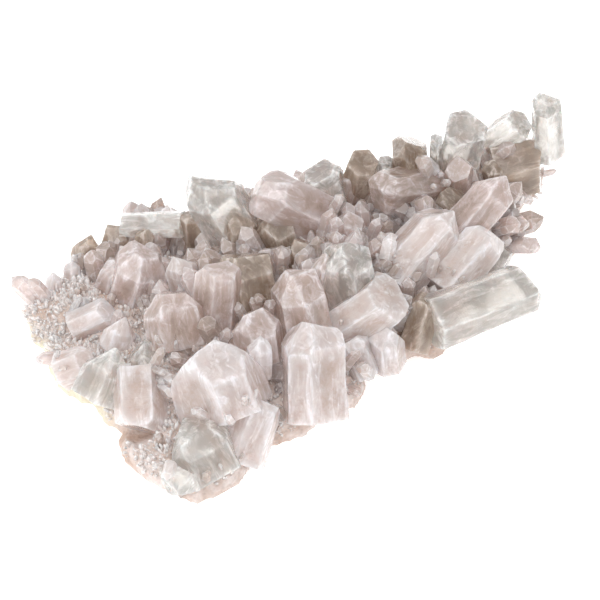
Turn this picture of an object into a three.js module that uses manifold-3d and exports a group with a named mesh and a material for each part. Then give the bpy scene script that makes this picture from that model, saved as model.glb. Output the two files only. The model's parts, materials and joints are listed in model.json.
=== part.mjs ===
// Quartz crystal cluster: six-sided quartz points crowded on an elongated, flat-bottomed slab of matrix.
// Millimetres, +Z up. +X runs along the cluster, from its broad end to its narrow end.
// The origin is at the middle of the flat underside's bounding box, on the surface that it rests on.

import * as THREE from 'three';
import { ConvexGeometry } from 'three/addons/geometries/ConvexGeometry.js';
import { mergeVertices } from 'three/addons/utils/BufferGeometryUtils.js';
import Module from 'manifold-3d';

// Driving dimensions
const FIT_GAP = 0.3; // clearance between neighbouring pieces
const FLOOR_DEPTH = 40; // depth of the block that trims everything flat at z = 0
const FLOOR_SIDE = 400; // side of that block

// Quartz habit
const SIDES = 6;
const TIP_SLOPE = THREE.MathUtils.degToRad(51.8); // rhombohedral faces against the base plane
const PRISM_TAPER = THREE.MathUtils.degToRad(1.5); // prism faces lean in toward the tip
const FACE_SPREAD = 0.14; // how unevenly the six prism faces stand off the axis
const MINOR_FACE_STANDOFF = 0.3; // minor rhombohedral faces, as a share of the half width
const CHISEL_CUT = 0.35; // extra depth of a dominant tip face, as a share of the half width
const BLUNT_CUT = 0.55; // how far a blunt top is cut below the point, as a share of the half width
const BLUNT_RISE = 2.2; // the steepness of that cut's normal: the larger, the more level the cut
const MEETING_TOLERANCE = 1e-4; // how nearly parallel planes may be, and how far a corner may stray

// Every shape is drawn from a fixed seed
const RANDOM_STEP = 16807;
const RANDOM_RANGE = 2147483647;
const SEED_STEP = 7919;
const SEED_START = 17;
const FIRST_ROCK_SEED = 101;

const QUARTZ_ROUGHNESS = 0.2;
const MATRIX_ROUGHNESS = 0.9;
const COLOURS = {
  clear: 0xd6d8d5,
  milky: 0xdcd6d5,
  rose: 0xd2c2bc,
  smoky: 0xa08a80,
  matrix: 0xd2c9b2,
};

// Crystals: [name, look, root centre, tip, width across the flats, twist in degrees, tip form].
// A crystal keeps its whole shape against the ones below it in the list, which are cut to fit.
const CRYSTALS = [
  // Large points
  ['front_prism', 'clear', [20, -33, 12], [57, -41, 14], 14, 20, 'point'],
  ['great_crystal', 'milky', [-45, -25, 11], [-45, -11, 34], 23, 10, 'chisel'],
  ['upright_point', 'rose', [-29, 1, 16], [-24, 4, 38], 12, 0, 'point'],
  ['bright_centre_point', 'clear', [7, -16, 16], [4, -13, 40], 14, 30, 'chisel'],
  ['milky_centre_point', 'milky', [1, -19, 13], [15, -30, 29], 16, 0, 'point'],
  ['front_milky_column', 'milky', [-25, -36, 5], [-16, -24, 31], 19, 30, 'blunt'],
  ['tall_centre_point', 'rose', [-11, -17, 11], [-12, -11, 36], 15, 40, 'point'],
  ['narrow_end_tall_point', 'clear', [68, 12, 16], [63, 0, 46], 13, 10, 'point'],
  ['narrow_end_upright_point', 'clear', [95, -1, 20], [88, -5, 45], 9, 25, 'point'],
  ['narrow_end_clear_point', 'clear', [82, 11, 22], [89, 0, 35], 9, 0, 'point'],
  ['back_tall_point', 'clear', [0, 28, 19], [-12, 30, 45], 15, 20, 'chisel'],
  ['bridging_crystal', 'clear', [-12, 37, 22], [-25, 55, 18], 7, 30, 'point'],
  ['back_rounded_point', 'rose', [20, 16, 21], [0, 22, 39], 14, 0, 'blunt'],
  ['back_clear_point', 'clear', [30, 22, 18], [22, 18, 38], 11, 15, 'point'],
  ['back_slim_point', 'smoky', [38, 21, 18], [35, 12, 39], 9, 0, 'point'],
  ['back_smoky_point', 'smoky', [55, 14, 18], [47, 8, 42], 11, 20, 'chisel'],
  ['lying_point', 'rose', [54, 6, 23], [29, 4, 32], 13, 10, 'point'],
  ['right_upper_point', 'rose', [46, -10, 12], [67, -14, 31], 13, 0, 'point'],
  ['right_middle_point', 'milky', [22, -14, 14], [47, -14, 29], 15, 30, 'point'],
  ['right_rounded_point', 'milky', [33, -22, 10], [57, -21, 23], 14, 15, 'blunt'],
  ['right_clear_mass', 'clear', [38, -25, 7], [63, -15, 13], 16, 5, 'blunt'],
  ['left_grey_point', 'clear', [-66, 6, 7], [-56, 7, 20], 13, 10, 'chisel'],
  ['left_down_point', 'milky', [-56, 0, 14], [-68, -17, 5], 12, 0, 'point'],
  ['left_bright_point', 'milky', [-55, 33, 9], [-42, 26, 15], 8, 20, 'point'],
  ['left_rose_block', 'rose', [-34, 33, 11], [-30, 30, 29], 15, 25, 'blunt'],
  ['rose_blunt_point', 'rose', [-40, 3, 13], [-36, 13, 29], 16, 5, 'blunt'],
  ['smoky_broad_point', 'smoky', [-17, 1, 13], [-14, 12, 33], 18, 20, 'blunt'],
  ['front_base_block', 'clear', [-57, -32, 3], [-60, -25, 19], 18, 15, 'blunt'],
  ['front_slanting_point', 'milky', [-50, -35, 3], [-36, -30, 20], 12, 0, 'point'],
  ['narrow_end_mass', 'smoky', [80, 7, 15], [100, -4, 18], 18, 10, 'blunt'],
  // Middling points
  ['front_edge_point', 'rose', [-26, -15, 13], [-25, -10, 29], 13, 10, 'point'],
  ['white_tip', 'milky', [-34, -23, 16], [-31, -21, 27], 7, 30, 'point'],
  ['front_corner_block', 'clear', [-68, -33, 7], [-75, -36, 5], 11, 0, 'blunt'],
  ['front_low_point_1', 'milky', [-2, -30, 5], [-4, -24, 18], 10, 10, 'point'],
  ['front_low_point_2', 'milky', [5, -32, 5], [5, -30, 20], 10, 0, 'chisel'],
  ['front_low_point_3', 'smoky', [15, -31, 5], [24, -28, 20], 9, 20, 'point'],
  ['smoky_middle_point', 'smoky', [-20, -2, 14], [-11, 4, 31], 10, 0, 'point'],
  ['left_white_point', 'milky', [-68, 20, 8], [-59, 12, 14], 9, 10, 'point'],
  ['left_small_point_1', 'milky', [-51, 18, 9], [-47, 18, 18], 8, 0, 'point'],
  ['left_small_point_2', 'clear', [-50, 5, 10], [-48, 7, 18], 10, 20, 'point'],
  ['left_small_point_3', 'rose', [-37, 39, 9], [-35, 34, 22], 9, 0, 'point'],
  ['white_facet_point', 'milky', [-25, 18, 16], [-28, 20, 30], 8, 15, 'chisel'],
  ['back_gold_point', 'smoky', [-9, 37, 13], [-11, 35, 29], 7, 0, 'point'],
  ['back_curved_point', 'smoky', [6, 16, 16], [4, 19, 31], 12, 25, 'blunt'],
  ['back_small_point_1', 'smoky', [-5, 22, 18], [-4, 21, 32], 9, 0, 'point'],
  ['back_small_point_2', 'smoky', [6, 5, 18], [5, 7, 27], 9, 10, 'point'],
  ['back_small_point_3', 'rose', [34, 18, 16], [33, 17, 32], 6, 20, 'point'],
  ['back_small_point_4', 'clear', [47, 18, 20], [43, 13, 34], 5, 0, 'point'],
  ['back_small_point_5', 'clear', [61, 10, 22], [55, 5, 40], 5, 15, 'point'],
  ['narrow_end_point_1', 'rose', [63, 3, 14], [58, -2, 34], 9, 0, 'point'],
  ['narrow_end_point_2', 'smoky', [56, -2, 14], [53, -1, 27], 9, 20, 'point'],
  ['narrow_end_point_3', 'smoky', [76, 2, 13], [71, -2, 27], 6, 0, 'point'],
  ['middle_small_point_1', 'rose', [22, 4, 16], [20, 3, 31], 8, 10, 'point'],
  ['middle_small_point_2', 'rose', [0, -12, 18], [0, -11, 34], 8, 0, 'point'],
  ['rim_point_1', 'smoky', [-23, 53, 9], [-25, 56, 18], 8, 15, 'point'],
  ['rim_point_2', 'smoky', [-34, 56, 7], [-30, 57, 16], 8, 0, 'point'],
  ['rim_point_3', 'smoky', [-22, 44, 13], [-21, 42, 22], 5, 10, 'point'],
  ['rim_point_4', 'milky', [-48, 52, 5], [-44, 55, 12], 5, 0, 'point'],
  ['rim_point_5', 'milky', [-40, 53, 6], [-39, 55, 13], 5, 20, 'point'],
];

// Matrix: lumps of rock that have grown together, as [centre, half sizes]
const ROCK_LUMPS = [
  [[-41, 31, 0], [22, 28, 12]],
  [[-48, 42, 3], [13, 14, 7]],
  [[-56, 22, 0], [11, 16, 9]],
  [[-49, 3, 0], [18, 26, 13]],
  [[-58, -21, 0], [16, 18, 10]],
  [[-54, -33, 0], [8, 6, 7]],
  [[-22, 8, 0], [30, 38, 19]],
  [[-20, 36, 0], [20, 26, 15]],
  [[10, 0, 0], [32, 28, 21]],
  [[14, 18, 0], [34, 20, 21]],
  [[32, 8, 4], [16, 15, 16]],
  [[-28, -21, 0], [24, 14, 11]],
  [[-10, -29, 0], [8, 6, 8]],
  [[12, -19, 0], [28, 12, 11]],
  [[24, -28, 0], [8, 6, 8]],
  [[54, 1, 2], [28, 16, 19]],
  [[79, 6, 9], [19, 9, 11]],
];
const ROCK_ROUGHNESS = 0.14; // how far the rock's corners stray from a smooth lump

const wasm = await Module();
wasm.setup();

function makeRandom(seed) {
  let state = seed * SEED_STEP + SEED_START;
  return () => {
    state = (state * RANDOM_STEP) % RANDOM_RANGE;
    return state / RANDOM_RANGE;
  };
}

function toSolid(geometry) {
  const bare = geometry.clone();
  bare.deleteAttribute('normal');
  bare.deleteAttribute('uv');
  const merged = mergeVertices(bare);
  const vertProperties = new Float32Array(merged.attributes.position.array);
  const triVerts = new Uint32Array(merged.index.array);
  return new wasm.Manifold(new wasm.Mesh({ numProp: 3, vertProperties, triVerts }));
}

function toGeometry(solid) {
  const mesh = solid.getMesh();
  const geometry = new THREE.BufferGeometry();
  geometry.setAttribute('position', new THREE.BufferAttribute(mesh.vertProperties, 3));
  geometry.setIndex(new THREE.BufferAttribute(mesh.triVerts, 1));
  return geometry;
}

function largestBody(solid) {
  const bodies = solid.decompose();
  return bodies.reduce((best, body) => (body.volume() > best.volume() ? body : best));
}

// The planes that bound a crystal in its own frame: root at the origin, tip up the Z axis.
function crystalPlanes(length, width, form, random) {
  const half = width / 2;
  const planes = [new THREE.Plane(new THREE.Vector3(0, 0, -1), 0)];
  for (let side = 0; side < SIDES; side += 1) {
    const angle = (side * 2 * Math.PI) / SIDES;
    const outward = new THREE.Vector3(Math.cos(angle), Math.sin(angle), 0);
    const standoff = half * (1 - FACE_SPREAD + 2 * FACE_SPREAD * random());
    planes.push(slopingPlane(outward, PRISM_TAPER, standoff));
    const minor = side % 2 === 1 ? half * MINOR_FACE_STANDOFF * random() : 0;
    const chisel = form === 'chisel' && side === 0 ? half * CHISEL_CUT : 0;
    const tipStandoff = length * Math.cos(TIP_SLOPE) + minor - chisel;
    planes.push(slopingPlane(outward, Math.PI / 2 - TIP_SLOPE, tipStandoff));
  }
  if (form === 'blunt') {
    const lean = new THREE.Vector3(random() - 0.5, random() - 0.5, BLUNT_RISE).normalize();
    planes.push(new THREE.Plane(lean, -(length - half * BLUNT_CUT)));
  }
  return planes;
}

// A plane facing outward and turned up by the rise angle, at a distance from the frame's origin.
function slopingPlane(outward, rise, distance) {
  const normal = outward.clone().multiplyScalar(Math.cos(rise));
  normal.z = Math.sin(rise);
  return new THREE.Plane(normal, -distance);
}

function meetingPoint(a, b, c) {
  const bc = b.normal.clone().cross(c.normal);
  const spread = a.normal.dot(bc);
  if (Math.abs(spread) < MEETING_TOLERANCE) {
    return null;
  }
  const ca = c.normal.clone().cross(a.normal).multiplyScalar(-b.constant);
  const ab = a.normal.clone().cross(b.normal).multiplyScalar(-c.constant);
  return bc.multiplyScalar(-a.constant).add(ca).add(ab).divideScalar(spread);
}

// The convex solid that lies behind every plane.
function solidBehind(planes) {
  const corners = [];
  const inside = (point) => planes.every((plane) => plane.distanceToPoint(point) < MEETING_TOLERANCE);
  planes.forEach((a, i) => {
    planes.slice(i + 1).forEach((b, j) => {
      planes.slice(i + j + 2).forEach((c) => {
        const point = meetingPoint(a, b, c);
        if (point && inside(point)) {
          corners.push(point);
        }
      });
    });
  });
  return new ConvexGeometry(corners);
}

function grow(planes, distance) {
  return planes.map((plane) => new THREE.Plane(plane.normal, plane.constant - distance));
}

// The crystal's place: its frame stands at the root and points to the tip.
function crystalPose(root, tip, twist) {
  const from = new THREE.Vector3(...root);
  const axis = new THREE.Vector3(...tip).sub(from).normalize();
  const turn = new THREE.Quaternion().setFromUnitVectors(new THREE.Vector3(0, 0, 1), axis);
  const spin = new THREE.Quaternion().setFromAxisAngle(
    new THREE.Vector3(0, 0, 1),
    THREE.MathUtils.degToRad(twist),
  );
  return new THREE.Matrix4().compose(from, turn.multiply(spin), new THREE.Vector3(1, 1, 1));
}

function rockLump([centre, halfSizes], seed) {
  const random = makeRandom(seed + FIRST_ROCK_SEED);
  const ball = new THREE.IcosahedronGeometry(1, 1);
  const points = new Map();
  for (let i = 0; i < ball.attributes.position.count; i += 1) {
    const corner = new THREE.Vector3().fromBufferAttribute(ball.attributes.position, i);
    const key = corner.toArray().map((value) => value.toFixed(3)).join(' ');
    if (!points.has(key)) {
      corner.multiply(new THREE.Vector3(...halfSizes));
      corner.multiplyScalar(1 + ROCK_ROUGHNESS * (2 * random() - 1));
      points.set(key, corner.add(new THREE.Vector3(...centre)));
    }
  }
  return toSolid(new ConvexGeometry([...points.values()]));
}

function floorBlock() {
  const block = new THREE.BoxGeometry(FLOOR_SIDE, FLOOR_SIDE, FLOOR_DEPTH);
  block.translate(0, 0, -FLOOR_DEPTH / 2);
  return toSolid(block);
}

function placedMesh(name, look, solid, pose) {
  const colour = COLOURS[look];
  const roughness = look === 'matrix' ? MATRIX_ROUGHNESS : QUARTZ_ROUGHNESS;
  const material = new THREE.MeshStandardMaterial({ color: colour, roughness, metalness: 0 });
  const geometry = toGeometry(solid);
  geometry.applyMatrix4(pose.clone().invert());
  const mesh = new THREE.Mesh(geometry, material);
  mesh.name = name;
  mesh.applyMatrix4(pose);
  return mesh;
}

function buildCluster() {
  const cluster = new THREE.Group();
  const floor = floorBlock();
  let taken = floor;
  CRYSTALS.forEach(([name, look, root, tip, width, twist, form], index) => {
    const length = new THREE.Vector3(...root).distanceTo(new THREE.Vector3(...tip));
    const planes = crystalPlanes(length, width, form, makeRandom(index + 1));
    const pose = crystalPose(root, tip, twist);
    const whole = toSolid(solidBehind(planes).applyMatrix4(pose));
    const socket = toSolid(solidBehind(grow(planes, FIT_GAP)).applyMatrix4(pose));
    cluster.add(placedMesh(name, look, largestBody(whole.subtract(taken)), pose));
    taken = taken.add(socket);
  });
  const rock = ROCK_LUMPS.map(rockLump).reduce((sum, lump) => sum.add(lump));
  const matrix = largestBody(rock.subtract(taken));
  cluster.add(placedMesh('matrix', 'matrix', matrix, new THREE.Matrix4()));
  return cluster;
}

// Moves the cluster so that its bounding box stands centred over the origin.
function centre(cluster) {
  const middle = new THREE.Box3().setFromObject(cluster, true).getCenter(new THREE.Vector3());
  cluster.position.set(-middle.x, -middle.y, 0);
  return cluster;
}

export default centre(buildCluster());
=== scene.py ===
import itertools
import json
import math
import random

import bmesh
import bpy
import numpy as np
from mathutils import Matrix, Vector, noise

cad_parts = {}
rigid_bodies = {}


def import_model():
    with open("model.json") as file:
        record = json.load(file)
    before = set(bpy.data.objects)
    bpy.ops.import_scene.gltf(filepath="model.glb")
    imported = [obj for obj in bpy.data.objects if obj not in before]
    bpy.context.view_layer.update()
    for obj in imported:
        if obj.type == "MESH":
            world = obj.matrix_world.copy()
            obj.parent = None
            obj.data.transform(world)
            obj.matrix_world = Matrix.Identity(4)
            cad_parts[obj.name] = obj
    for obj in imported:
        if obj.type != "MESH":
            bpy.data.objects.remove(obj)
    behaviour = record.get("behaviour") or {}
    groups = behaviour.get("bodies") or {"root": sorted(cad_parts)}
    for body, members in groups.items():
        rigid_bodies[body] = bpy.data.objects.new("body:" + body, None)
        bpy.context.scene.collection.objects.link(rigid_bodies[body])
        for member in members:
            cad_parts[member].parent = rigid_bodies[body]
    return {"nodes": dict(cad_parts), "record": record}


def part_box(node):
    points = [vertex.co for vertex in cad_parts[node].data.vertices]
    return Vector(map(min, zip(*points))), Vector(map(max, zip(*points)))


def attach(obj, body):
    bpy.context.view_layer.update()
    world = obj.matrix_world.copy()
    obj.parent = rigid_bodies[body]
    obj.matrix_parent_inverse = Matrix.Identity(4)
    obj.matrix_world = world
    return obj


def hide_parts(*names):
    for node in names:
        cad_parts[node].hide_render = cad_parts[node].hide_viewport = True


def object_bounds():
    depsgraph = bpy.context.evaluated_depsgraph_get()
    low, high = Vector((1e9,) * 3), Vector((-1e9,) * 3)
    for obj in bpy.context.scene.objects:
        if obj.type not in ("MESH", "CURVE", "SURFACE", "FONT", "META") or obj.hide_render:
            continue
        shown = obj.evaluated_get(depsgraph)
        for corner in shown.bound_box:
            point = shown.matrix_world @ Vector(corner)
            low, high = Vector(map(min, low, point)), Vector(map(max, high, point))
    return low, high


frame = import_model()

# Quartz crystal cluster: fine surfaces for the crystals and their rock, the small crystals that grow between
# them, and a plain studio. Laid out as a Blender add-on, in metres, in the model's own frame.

bl_info = {
    "name": "Quartz crystal cluster",
    "version": (1, 0, 0),
    "blender": (4, 5, 0),
    "location": "3D View > Sidebar > Cluster",
    "description": "Builds a quartz crystal cluster over its model's frame",
    "category": "Object",
}

MM = 0.001
CAD_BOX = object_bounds()
SLOTS = {entry["node"]: entry["material_slot"] for entry in frame["record"]["subparts"]}
ROCK = "matrix"
CRYSTALS = [node for node in frame["nodes"] if node != ROCK]

# The crystals' habit, and how a model node's faces are told apart
TIP_FACE_RISE = math.radians(38.2)  # a rhombohedral face's outward normal, above the base plane
PRISM_TAPER = math.radians(1.5)  # the same for a prism face, which leans in a little toward the tip
RISES = np.array((math.sin(PRISM_TAPER), math.sin(TIP_FACE_RISE), -1.0))  # sine of each kind of face's rise
RISE_TOLERANCE = 0.05  # how far a face's sine may be from its kind's
PRISM_TOLERANCE = math.radians(1.5)
TIP_TOLERANCE = math.radians(2)
CAP_RISE = math.radians(60)  # faces steeper than this close a blunt tip
MERGE = 0.002 * MM  # corners of a model node nearer than this are one
SMALLEST_SIDE = 0.3 * MM  # a face smaller than this square isn't measured
FLATNESS = 0.04 * MM  # how far the crystal may reach past one of its own faces
SAME_WAY = 0.999  # cosine above which two normals belong to one face
LEAST_SPREAD = 0.3  # sine of the least angle between two faces that show the axis
AXIS_ROUNDS = 4  # times that the axis is fitted again to the faces that agree with it

# How a solid is made from planes
LEAST_VOLUME = 0.01  # of the block that three unit normals span, for their planes to meet in a sure corner
CORNER_SLACK = 0.001 * MM  # rounding allowed when a corner is tested against the planes
CORNER_MERGE = 0.02 * MM
FLAT_ANGLE = math.radians(0.7)  # neighbouring faces that meet flatter than this are one
BOX_ROOM = 0.4 * MM  # how far a finished crystal may reach past its model node's box

# How a crystal's surface is worn
CHIPPED_FROM = 0.45  # share of a crystal's length above which its corners are broken
CHIP_CHANCE = 0.3  # that such a corner is broken
CHIP_DEPTHS = (0.3, 1.3)  # least and most that a break passes under its corner, as shares of the setting
WORN_ANGLE = math.radians(4)  # edges sharper than this are worn
SHARP_ANGLE = math.radians(35)  # edges sharper than this stay crisp in the shading
MOST_CUTS = 6  # times that a long side may be halved
WAVES = ((10, 1.9), (5, 1.0), (1.9, 0.4))  # length in mm and share of the height of each wave on a face
HEART_DEPTH = 4.5 * MM  # how far from a face's edge the crystal is clearest and deepest in colour
GRAIN_DRAW = 0.3  # how much shorter the grain coordinates run along a crystal, which draws its veils out
LEAST_SLANT = 0.04  # squared sine, so that an edge between two nearly parallel faces isn't infinitely far
OWN_TINT = 0.6  # most that a crystal's own tint differs from its neighbour's
NARROW_END_SMOKE_AND_SHADE = 0.9  # how fast the tint deepens toward the narrow end: partly smoky quartz, partly painted shade of that dimmer end
SMOKE_AND_SHADE_FROM = 0.55  # share of the cluster's length where the smoky colour and painted shade start to deepen

# What grows on the rock and on the large crystals
CLEAN_CRYSTALS = (  # nothing grows on these
    "bridging_crystal", "front_prism", "narrow_end_tall_point", "narrow_end_clear_point",
    "narrow_end_upright_point", "back_tall_point",
)
# The large crystals whose shapes the small ones take
SEED_MODELS = ("upright_point", "narrow_end_tall_point", "back_smoky_point", "left_bright_point")
SEED_RIM = 0.035  # width of the painted-highlight strip round each face of a small crystal, as a share of its length
SEED_MERGE = 0.3 * MM
SHORT_BIAS = 2.2  # power that makes most small crystals short
SIZE_SEED = 77
TINT_SEED = 5

# Looks that every quartz shares
SMOKE_AND_SHADE_COLOUR = "9F9083"  # smoky quartz seen through several centimetres, sRGB hex; toward the narrow end it also paints shade
HEART_PULL = 0.75  # how far a crystal's heart goes toward its deeper colour
STAIN_INWARD = 0.13  # how much more stain shows through the heart
GROWTH_LINE_HEIGHT = 0.4  # of the etching's

# The studio
AIM = (-0.076, -0.088, 0.24)  # where the camera looks: across, deep and up, as shares of the cluster's size
TENT_LIGHT = (-0.62, 0.0, 0.78)  # toward the brighter side of the tent
WINDOW = (-0.55, -0.15, 0.82)  # toward the window
FLOOR_SIDE = 8.0  # metres
FLOOR_DROP = 0.2 * MM  # keeps the floor clear of the rock's flat underside


# ---------------------------------------------------------------- settings

def length(name, description, default):
    return bpy.props.FloatProperty(
        name=name, description=description, default=default, min=0.0, unit="LENGTH", precision=5
    )


def share(name, description, default):
    return bpy.props.FloatProperty(
        name=name, description=description, default=default, min=0.0, max=1.0, subtype="FACTOR"
    )


def colour(name, description, default):
    return bpy.props.StringProperty(name=name, description=description, default=default)


class CrystalSettings(bpy.types.PropertyGroup):
    """How the large crystals are finished."""
    edge_width: length("Edge", "Width of the worn edge between two faces", 0.4 * MM)
    # The milky rim is painted highlight along every face edge, drawn as milky cloud
    edge_highlight_width: length("Milky rim", "How far the cloudiness of an edge reaches into a face", 0.4 * MM)
    cell: length("Cell", "Longest triangle side on a finished crystal", 1.3 * MM)
    unevenness: length("Unevenness", "Height of the slow waves on a face", 0.24 * MM)
    chip_depth: length("Break", "How far under a corner the plane of a break passes", 0.25 * MM)
    clear_colour: colour("Clear", "Clear quartz, sRGB hex", "EEECE8")
    milky_colour: colour("Milky", "Milky quartz, sRGB hex", "ECE5E5")
    pink_colour: colour("Pinkish", "Pinkish quartz, sRGB hex", "E6D9D6")
    smoky_colour: colour("Smoky", "Smoky quartz, sRGB hex", "C9B8A7")


class RockSettings(bpy.types.PropertyGroup):
    """How the matrix is finished."""
    voxel: length("Grain", "Size of the rock mesh's cells", 0.9 * MM)
    roughness: length("Roughness", "Height of the rock's lumps", 0.7 * MM)
    rock_colour: colour("Rock", "Body of the rock, sRGB hex", "DCD2CE")
    stain_colour: colour("Stain", "Iron-stained hollows, sRGB hex", "BBA496")
    rim_colour: colour("Rim", "Cream weathered rim, sRGB hex", "D9D2BD")


class DruseSettings(bpy.types.PropertyGroup):
    """How the small crystals grow on the rock."""
    fine_length: length("Fine crystals", "Length of the finest crystals", 1.7 * MM)
    coarse_length: length("Coarse crystals", "Length of the crystals between the large ones", 5.5 * MM)
    lean: share("Lean", "How far the small crystals lean away from the rock's normal", 0.45)


class StageSettings(bpy.types.PropertyGroup):
    """The camera's place and the light."""
    azimuth: bpy.props.FloatProperty(
        name="Azimuth", description="Camera's turn about Z; 0 looks along +Y",
        default=math.radians(-40), subtype="ANGLE",
    )
    elevation: bpy.props.FloatProperty(
        name="Elevation", description="Camera's height above the horizon",
        default=math.radians(38), subtype="ANGLE",
    )
    distance: length("Distance", "From the camera to the point that it looks at", 700 * MM)
    seen_width: length("Width seen", "Width of the view at that point", 168 * MM)
    light: bpy.props.FloatProperty(name="Light", description="Strength of the studio light", default=1.0)


# ---------------------------------------------------------------- nodes and colours

def linear(hex_colour):
    """An sRGB hex colour as linear RGBA."""
    parts = [int(hex_colour[i : i + 2], 16) / 255 for i in (0, 2, 4)]
    curved = [p / 12.92 if p <= 0.04045 else ((p + 0.055) / 1.055) ** 2.4 for p in parts]
    return (*curved, 1.0)


def add(tree, kind, inputs=None, **settings):
    """Adds a node with its settings, its sockets' values and its links."""
    node = tree.nodes.new(kind)
    for name, value in settings.items():
        setattr(node, name, value)
    for socket, value in (inputs or {}).items():
        if isinstance(value, bpy.types.NodeSocket):
            tree.links.new(value, node.inputs[socket])
        else:
            node.inputs[socket].default_value = value
    return node


def per_mm(size_mm):
    """The texture scale that gives a pattern of that size in millimetres, on coordinates in metres."""
    return 1.0 / (size_mm * MM)


def new_material(name):
    material = bpy.data.materials.new(name)
    material.use_nodes = True
    material.node_tree.nodes.clear()
    return material, material.node_tree


# ---------------------------------------------------------------- materials

def finish_clear_body(tree, shader, passed):
    """Ends a quartz material: a share of the light goes straight through it, as through real quartz."""
    path = add(tree, "ShaderNodeLightPath")
    through = add(tree, "ShaderNodeMath", {
        0: path.outputs["Is Shadow Ray"], 1: passed,
    }, operation="MULTIPLY")
    open_way = add(tree, "ShaderNodeBsdfTransparent", {"Color": linear("F7F4F3")})
    body = add(tree, "ShaderNodeMixShader", {
        0: through.outputs[0], 1: shader.outputs[0], 2: open_way.outputs[0],
    })
    add(tree, "ShaderNodeOutputMaterial", {"Surface": body.outputs[0]})


def quartz(name, heart, deep, milk, stain, veils, stained, clearness):
    """
    Grown quartz: glossy etched faces; a see-through heart inside edges that carry a painted highlight, drawn
    as milky cloud; veils that run along the crystal; healed cracks, partly painted glint; and a root stained
    by the rock. The last three settings are shares from 0 to 1.
    """
    material, tree = new_material(name)
    marks = {
        mark: add(tree, "ShaderNodeAttribute", attribute_name=mark)
        for mark in ("growth", "edge", "along", "tint", "heart", "grain")
    }
    growth, edge, along, own, core = (
        marks[mark].outputs["Fac"] for mark in ("growth", "edge", "along", "tint", "heart")
    )
    grain = marks["grain"].outputs["Vector"]
    place = add(tree, "ShaderNodeTexCoord").outputs["Object"]

    # Fluid veils: wisps about 2.6 mm wide, drawn out along the crystal by the grain coordinates
    veil = add(tree, "ShaderNodeTexNoise", {
        "Vector": grain, "Scale": per_mm(2.6), "Detail": 8.0, "Roughness": 0.66, "Distortion": 0.9,
    })
    wisp = add(tree, "ShaderNodeMapRange", {
        "Value": veil.outputs["Fac"], "From Min": 0.42, "From Max": 0.68, "To Max": veils,
    }, interpolation_type="SMOOTHSTEP")
    # Healed cracks: thin bright curved lines, 7 mm apart, whose brightness is partly painted glint
    warp = add(tree, "ShaderNodeTexNoise", {"Vector": place, "Scale": per_mm(8), "Detail": 3.0})
    bent = add(tree, "ShaderNodeVectorMath", {
        0: warp.outputs["Color"], 1: (7 * MM, 7 * MM, 7 * MM), 2: place,
    }, operation="MULTIPLY_ADD")
    crack = add(tree, "ShaderNodeTexVoronoi", {"Vector": bent.outputs[0], "Scale": per_mm(7)},
                feature="DISTANCE_TO_EDGE")
    line = add(tree, "ShaderNodeMapRange", {
        "Value": crack.outputs["Distance"], "From Max": 0.05, "To Min": 0.9, "To Max": 0.0,
    })
    line_here = add(tree, "ShaderNodeMath", {0: line.outputs[0], 1: wisp.outputs[0]}, operation="MULTIPLY")
    # Painted highlight along every face edge, drawn as ragged milky cloud; the root is cloudy too
    ragged = add(tree, "ShaderNodeMapRange", {
        "Value": veil.outputs["Fac"], "From Min": 0.35, "From Max": 0.7,
    })
    rim = add(tree, "ShaderNodeMath", {0: edge, 1: ragged.outputs[0]}, operation="MULTIPLY")
    root = add(tree, "ShaderNodeMapRange", {
        "Value": growth, "From Max": 0.5, "To Min": 0.2, "To Max": 0.0,
    }, interpolation_type="SMOOTHSTEP")
    # Painted highlight: a faint lighter band of cloud reaches in from the edges and leaves the heart clearer
    lift = add(tree, "ShaderNodeMapRange", {"Value": core, "To Min": 0.05, "To Max": -0.1})
    cloudy = wisp.outputs[0]
    for part in (line_here, rim, root, lift):
        so_far = add(tree, "ShaderNodeMath", {
            0: cloudy, 1: part.outputs[0],
        }, operation="ADD", use_clamp=True)
        cloudy = so_far.outputs[0]

    # Iron stain: patches of 5.5 mm that thin out up the crystal, broken into specks of 0.9 mm
    patch = add(tree, "ShaderNodeTexNoise", {
        "Vector": place, "Scale": per_mm(5.5), "Detail": 5.0, "Roughness": 0.65, "Distortion": 0.8,
    })
    low = add(tree, "ShaderNodeMapRange", {
        "Value": growth, "From Max": 0.9, "To Min": 0.13, "To Max": -0.09,
    })
    inward = add(tree, "ShaderNodeMath", {
        0: core, 1: STAIN_INWARD, 2: low.outputs[0],
    }, operation="MULTIPLY_ADD")
    patch_low = add(tree, "ShaderNodeMath", {
        0: patch.outputs["Fac"], 1: inward.outputs[0],
    }, operation="ADD")
    patches = add(tree, "ShaderNodeMapRange", {
        "Value": patch_low.outputs[0], "From Min": 0.5, "From Max": 0.78, "To Max": stained,
    }, interpolation_type="SMOOTHSTEP")
    speck = add(tree, "ShaderNodeTexNoise", {
        "Vector": place, "Scale": per_mm(0.9), "Detail": 3.0, "Roughness": 0.7,
    })
    specks = add(tree, "ShaderNodeMapRange", {
        "Value": speck.outputs["Fac"], "From Min": 0.4, "From Max": 0.62, "To Min": 0.45, "To Max": 1.0,
    })
    stain_share = add(tree, "ShaderNodeMath", {
        0: patches.outputs[0], 1: specks.outputs[0],
    }, operation="MULTIPLY")

    # Body colour: each crystal between its two hearts by its own tint, which also carries painted shade
    # toward the narrow end, then clouded, then stained
    deeper = add(tree, "ShaderNodeMath", {
        0: core, 1: HEART_PULL, 2: own,
    }, operation="MULTIPLY_ADD", use_clamp=True)
    inside = add(tree, "ShaderNodeMix", {
        0: deeper.outputs[0], 6: linear(heart), 7: linear(deep),
    }, data_type="RGBA")
    clouded = add(tree, "ShaderNodeMix", {
        0: cloudy, 6: inside.outputs[2], 7: linear(milk),
    }, data_type="RGBA")
    stained_body = add(tree, "ShaderNodeMix", {
        0: stain_share.outputs[0], 6: clouded.outputs[2], 7: linear(stain),
    }, data_type="RGBA")
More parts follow.
